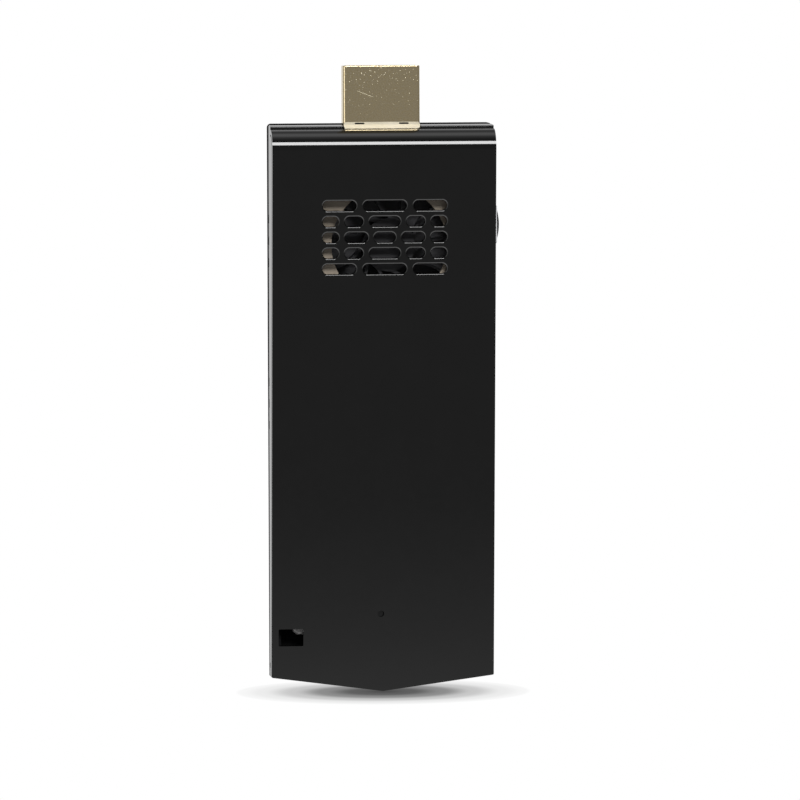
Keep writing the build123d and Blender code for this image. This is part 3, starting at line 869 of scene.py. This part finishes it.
class STICK_OT_board(bpy.types.Operator):
    """Finishes the main board and what stands on it."""

    bl_idname = "stick.board"
    bl_label = "Main board"

    def execute(self, context):
        # Solder mask over glass epoxy: a deep green, glossy over the copper below
        mask = moulded(
            "green_solder_mask",
            ("#12301F", "#0E281A"),
            roughness=(0.2, 0.35),
            grain_mm=0.8,
            relief_um=4.0,
        )
        # Transfer-moulded epoxy with a matte top
        epoxy = moulded(
            "moulded_epoxy",
            ("#1E1E20", "#252528"),
            roughness=(0.5, 0.65),
            grain_mm=0.12,
            relief_um=4.0,
        )
        # A cast silicone pad filled with oxide: grey, soft and dull
        silicone = moulded(
            "silicone_pad",
            ("#8E949A", "#7F858B"),
            roughness=(0.6, 0.75),
            grain_mm=0.3,
            relief_um=6.0,
        )
        # Aluminium sheet brushed across the stick: fine lines, a silky shine
        aluminium = moulded(
            "brushed_aluminium",
            ("#D2D3D4", "#C4C5C7"),
            roughness=(0.22, 0.38),
            grain_mm=0.3,
            relief_um=2.0,
            metallic=1.0,
            stretch=(0.08, 1, 1),
        )
        # Fired ceramic: a brown with a dry skin
        ceramic = moulded(
            "fired_ceramic",
            ("#9C846A", "#8B745C"),
            roughness=(0.4, 0.55),
            grain_mm=0.2,
            relief_um=3.0,
        )
        dress(mask, "main_board")
        dress(epoxy, "processor", "memory_chip_left", "memory_chip_right")
        dress(epoxy, "storage_chip", "power_chip", "tact_switch_body")
        dress(silicone, "thermal_pad")
        dress(aluminium, "heat_spreader")
        dress(ceramic, "power_inductors", "capacitors")
        return {"FINISHED"}


class STICK_OT_small_parts(bpy.types.Operator):
    """Finishes the button, its bezel, the light pipe and the lanyard post."""

    bl_idname = "stick.small_parts"
    bl_label = "Button, light and lanyard post"

    def execute(self, context):
        # The key is the lid's plastic, with the softer shine that fingers leave
        key = moulded(
            "polished_abs_key",
            ("#0C0C0D", "#101011"),
            roughness=(0.06, 0.1),
            grain_mm=1.2,
            relief_um=0.2,
        )
        # ABS from a satin tool: light grey with a soft sheen
        bezel = moulded(
            "satin_abs_bezel",
            (context.scene.stick_colours.bezel, "#D2D3D5"),
            roughness=(0.25, 0.35),
            grain_mm=0.4,
            relief_um=1.5,
        )
        # Smoked polycarbonate looks black in a hole
        pipe = moulded(
            "smoked_polycarbonate",
            ("#050506", "#08080A"),
            roughness=(0.08, 0.14),
            grain_mm=0.5,
            relief_um=0.5,
            ior=1.58,
        )
        # Moulded ABS in mid grey, which shows pale in the dark of the lanyard hole
        post = moulded(
            "moulded_abs_post",
            ("#858484", "#929190"),
            roughness=(0.3, 0.42),
            grain_mm=0.4,
            relief_um=2.0,
        )
        dress(key, "power_button")
        dress(bezel, "button_bezel")
        dress(pipe, "light_pipe")
        dress(post, "lanyard_post")
        return {"FINISHED"}


def set_camera(settings):
    """Puts the camera where the photograph was taken."""
    data = bpy.data.cameras.new("camera")
    data.lens = settings.lens
    data.sensor_width = 36.0
    data.shift_x = (PICTURE / 2 - MIDDLE_PIXEL[0]) / PICTURE
    data.shift_y = (MIDDLE_PIXEL[1] - PICTURE / 2) / PICTURE
    data.clip_start = 0.05
    data.clip_end = 20.0
    camera = bpy.data.objects.new("camera", data)
    bpy.context.collection.objects.link(camera)
    turn = Matrix.Rotation(settings.roll, 3, "Z") @ Matrix.Rotation(settings.yaw, 3, "Y")
    turn = turn @ Matrix.Rotation(settings.pitch, 3, "X")
    back = turn.transposed()
    place = back.to_4x4()
    place.translation = MIDDLE + back @ Vector((0, 0, settings.distance))
    camera.matrix_world = place
    bpy.context.scene.camera = camera


def set_world():
    """White to the camera, and to gloss a studio that is dim in front and pale at the sides."""
    world = bpy.data.worlds.new("studio")
    bpy.context.scene.world = world
    world.use_nodes = True
    tree = world.node_tree
    tree.nodes.clear()
    direction = add_node(tree, "ShaderNodeTexCoord").outputs["Generated"]
    axes = add_node(tree, "ShaderNodeSeparateXYZ", {"Vector": direction}).outputs
    height = add_node(
        tree,
        "ShaderNodeMapRange",
        {"Value": axes["Y"], "From Min": -1.0, "From Max": 1.0},
    )
    ramp = add_node(tree, "ShaderNodeValToRGB", {"Fac": height.outputs["Result"]})
    elements = ramp.color_ramp.elements
    for index, (y, level) in enumerate(STUDIO_LEVELS):
        place = (y + 1) / 2
        element = elements[index] if index < 2 else elements.new(place)
        element.position = place
        element.color = (level, level, level, 1)
    leftward = add_node(
        tree,
        "ShaderNodeMapRange",
        {"Value": axes["X"], "From Min": PANEL_EDGE_X[0], "From Max": PANEL_EDGE_X[1]},
    )
    forward = add_node(
        tree,
        "ShaderNodeMapRange",
        {"Value": axes["Z"], "From Min": PANEL_EDGE_Z[0], "From Max": PANEL_EDGE_Z[1]},
    )
    panel = add_node(
        tree,
        "ShaderNodeMath",
        {0: leftward.outputs["Result"], 1: forward.outputs["Result"]},
        operation="MULTIPLY",
    )
    front = add_node(
        tree,
        "ShaderNodeMix",
        {"Factor": panel.outputs[0], MIX_FIRST: ramp.outputs["Color"], MIX_SECOND: PANEL_COLOUR},
        data_type="RGBA",
    )
    behind = add_node(
        tree,
        "ShaderNodeMapRange",
        {"Value": axes["Z"], "From Min": WALL_EDGE_Z[0], "From Max": WALL_EDGE_Z[1]},
    )
    studio = add_node(
        tree,
        "ShaderNodeMix",
        {
            "Factor": behind.outputs["Result"],
            MIX_FIRST: front.outputs[MIX_RESULT],
            MIX_SECOND: linear(WALL_COLOUR),
        },
        data_type="RGBA",
    )
    even = add_node(
        tree,
        "ShaderNodeMapRange",
        {
            "Value": axes["Z"],
            "From Min": EVEN_EDGE_Z[0],
            "From Max": EVEN_EDGE_Z[1],
            "To Min": EVEN_LEVELS[0],
            "To Max": EVEN_LEVELS[1],
        },
    )
    seen = add_node(tree, "ShaderNodeBackground", {"Color": linear(WHITE), "Strength": 1.0})
    mirrored = add_node(
        tree,
        "ShaderNodeBackground",
        {"Color": studio.outputs[MIX_RESULT], "Strength": 1.0},
    )
    fill = add_node(
        tree,
        "ShaderNodeBackground",
        {"Color": linear(WHITE), "Strength": even.outputs["Result"]},
    )
    rays = add_node(tree, "ShaderNodeLightPath").outputs
    glossy = add_node(
        tree,
        "ShaderNodeMath",
        {0: rays["Is Glossy Ray"], 1: rays["Is Transmission Ray"]},
        operation="MAXIMUM",
    )
    lighting = add_node(
        tree,
        "ShaderNodeMixShader",
        {0: glossy.outputs[0], 1: fill.outputs[0], 2: mirrored.outputs[0]},
    )
    whole = add_node(
        tree,
        "ShaderNodeMixShader",
        {0: rays["Is Camera Ray"], 1: lighting.outputs[0], 2: seen.outputs[0]},
    )
    add_node(tree, "ShaderNodeOutputWorld", {"Surface": whole.outputs[0]})


def set_softbox(brightness):
    """One softbox above the camera, whose reflection is the white band on the rolled end."""
    low, high = SOFTBOX_EDGES
    middle = (low + high) / 2
    data = bpy.data.lights.new("softbox", "AREA")
    data.shape = "RECTANGLE"
    data.size = 2 * SOFTBOX_AWAY * math.tan(SOFTBOX_HALF_WIDTH)
    data.size_y = 2 * SOFTBOX_AWAY * math.tan((high - low) / 2)
    data.energy = brightness * math.pi * data.size * data.size_y
    lamp = bpy.data.objects.new("softbox", data)
    bpy.context.collection.objects.link(lamp)
    direction = Vector(
        (
            math.sin(SOFTBOX_ACROSS) * math.cos(middle),
            math.sin(middle),
            math.cos(SOFTBOX_ACROSS) * math.cos(middle),
        )
    )
    lamp.location = direction * SOFTBOX_AWAY
    lamp.rotation_mode = "QUATERNION"
    lamp.rotation_quaternion = direction.to_track_quat("Z", "Y")


def painted_shadow_material():
    """White to the camera, with a painted soft shadow below the pointed end, and clear from behind."""
    material, output = new_material("white_floor_painted_shadow")
    tree = material.node_tree
    place = add_node(tree, "ShaderNodeTexCoord").outputs["Object"]
    centred = add_node(
        tree,
        "ShaderNodeMapping",
        {"Vector": place, "Location": (0, 0, -SHADOW_Z), "Scale": (1, 0, 1)},
    )
    squeezed = add_node(
        tree,
        "ShaderNodeVectorMath",
        {0: centred.outputs["Vector"], 1: (1 / SHADOW_RADII[0], 0, 1 / SHADOW_RADII[1])},
        operation="MULTIPLY",
    )
    reach = add_node(tree, "ShaderNodeVectorMath", {0: squeezed.outputs[0]}, operation="LENGTH")
    # the painted shadow: a grey ramp, darkest at the ellipse's middle and white at its edge
    ramp = add_node(tree, "ShaderNodeValToRGB", {"Fac": reach.outputs["Value"]})
    elements = ramp.color_ramp.elements
    for index, (at, level) in enumerate(SHADOW_LEVELS):
        element = elements[index] if index < 2 else elements.new(at)
        element.position = at
        element.color = (level, level, level, 1)
    ramp.color_ramp.interpolation = "EASE"
    glow = add_node(tree, "ShaderNodeEmission", {"Color": ramp.outputs["Color"], "Strength": 1.0})
    clear = add_node(tree, "ShaderNodeBsdfTransparent")
    camera_ray = add_node(tree, "ShaderNodeLightPath").outputs["Is Camera Ray"]
    facing_away = add_node(tree, "ShaderNodeNewGeometry").outputs["Backfacing"]
    seen = add_node(
        tree,
        "ShaderNodeMath",
        {0: camera_ray, 1: facing_away},
        operation="SUBTRACT",
        use_clamp=True,
    )
    mix = add_node(
        tree,
        "ShaderNodeMixShader",
        {0: seen.outputs[0], 1: clear.outputs[0], 2: glow.outputs[0]},
    )
    tree.links.new(mix.outputs[0], output.inputs["Surface"])
    return material


class STICK_OT_stage(bpy.types.Operator):
    """Makes the camera, the softbox, the studio and the floor under the pointed end, with its painted
    shadow.
    """

    bl_idname = "stick.stage"
    bl_label = "Stage"

    def execute(self, context):
        settings = context.scene.stick_stage
        context.scene.view_settings.view_transform = "Standard"
        set_camera(settings)
        set_world()
        set_softbox(settings.softbox)
        shape = bmesh.new()
        bmesh.ops.create_circle(shape, cap_ends=True, segments=FLOOR_SIDES, radius=FLOOR_RADIUS)
        level = Matrix.Rotation(-math.pi / 2, 4, "X")
        shape.transform(Matrix.Translation((0, TIP_Y - FLOOR_GAP, SHADOW_Z)) @ level)
        mesh = bpy.data.meshes.new("floor")
        shape.to_mesh(mesh)
        shape.free()
        mesh.materials.append(painted_shadow_material())
        floor = bpy.data.objects.new("floor", mesh)
        context.collection.objects.link(floor)
        return {"FINISHED"}


GROUPS = {
    "stick_colours": FinishColours,
    "stick_contacts": ContactSizes,
    "stick_stage": StageSettings,
}
OPERATORS = (
    STICK_OT_case,
    STICK_OT_plug,
    STICK_OT_sockets,
    STICK_OT_fan,
    STICK_OT_board,
    STICK_OT_small_parts,
    STICK_OT_stage,
)


class STICK_PT_panel(bpy.types.Panel):
    """Lists the settings and the makers in the sidebar."""

    bl_idname = "STICK_PT_panel"
    bl_label = "Stick computer"
    bl_space_type = "VIEW_3D"
    bl_region_type = "UI"
    bl_category = "Stick computer"

    def draw(self, context):
        for group_name in GROUPS:
            group = getattr(context.scene, group_name)
            for name in group.bl_rna.properties.keys():
                if name not in ("rna_type", "name"):
                    self.layout.prop(group, name)
        for operator in OPERATORS:
            self.layout.operator(operator.bl_idname)


def register():
    """Adds the groups, the operators and the panel."""
    for name, group in GROUPS.items():
        bpy.utils.register_class(group)
        setattr(bpy.types.Scene, name, bpy.props.PointerProperty(type=group))
    for operator in OPERATORS:
        bpy.utils.register_class(operator)
    bpy.utils.register_class(STICK_PT_panel)


def unregister():
    """Takes away what register added."""
    bpy.utils.unregister_class(STICK_PT_panel)
    for operator in reversed(OPERATORS):
        bpy.utils.unregister_class(operator)
    for name, group in reversed(list(GROUPS.items())):
        delattr(bpy.types.Scene, name)
        bpy.utils.unregister_class(group)


def main():
    """Makes everything in order."""
    register()
    for step in ("case", "plug", "sockets", "fan", "board", "small_parts", "stage"):
        getattr(bpy.ops.stick, step)()


if __name__ == "__main__":
    main()
